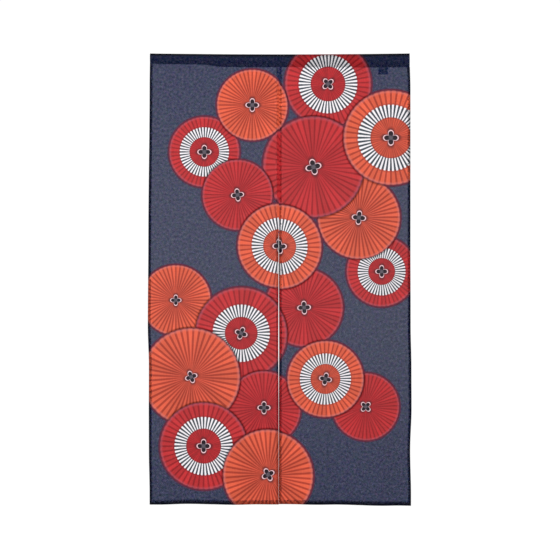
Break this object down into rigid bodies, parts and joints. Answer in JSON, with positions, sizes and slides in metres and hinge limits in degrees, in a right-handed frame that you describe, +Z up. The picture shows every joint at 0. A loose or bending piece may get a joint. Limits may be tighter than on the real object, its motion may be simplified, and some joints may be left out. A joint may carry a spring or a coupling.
{
  "type": "noren curtain",
  "caption": "Split doorway curtain of two sheer hanging cloth panels under one open rod sleeve, with turned hems and a small blank label behind.",
  "frame": {"origin": "centre of the top edge, at the front face of the cloth", "axes": "+Z up along the drop, +X to the right as seen from the front, +Y towards the back (the front faces -Y)"},
  "size_m": [0.8575, 0.0219, 1.473],
  "materials": {
    "sleeve_cloth": "matte, two layers of sheer navy plain weave, printed",
    "panel_cloth": "matte, sheer navy plain weave printed with orange and red parasols",
    "label_cloth": "matte, plain dark woven tab, blank"
  },
  "bodies": {
    "root": {"heading_sleeve": "sleeve_cloth", "panel_left": "panel_cloth", "panel_right": "panel_cloth", "label_tab": "label_cloth"}
  },
  "joints": []
}
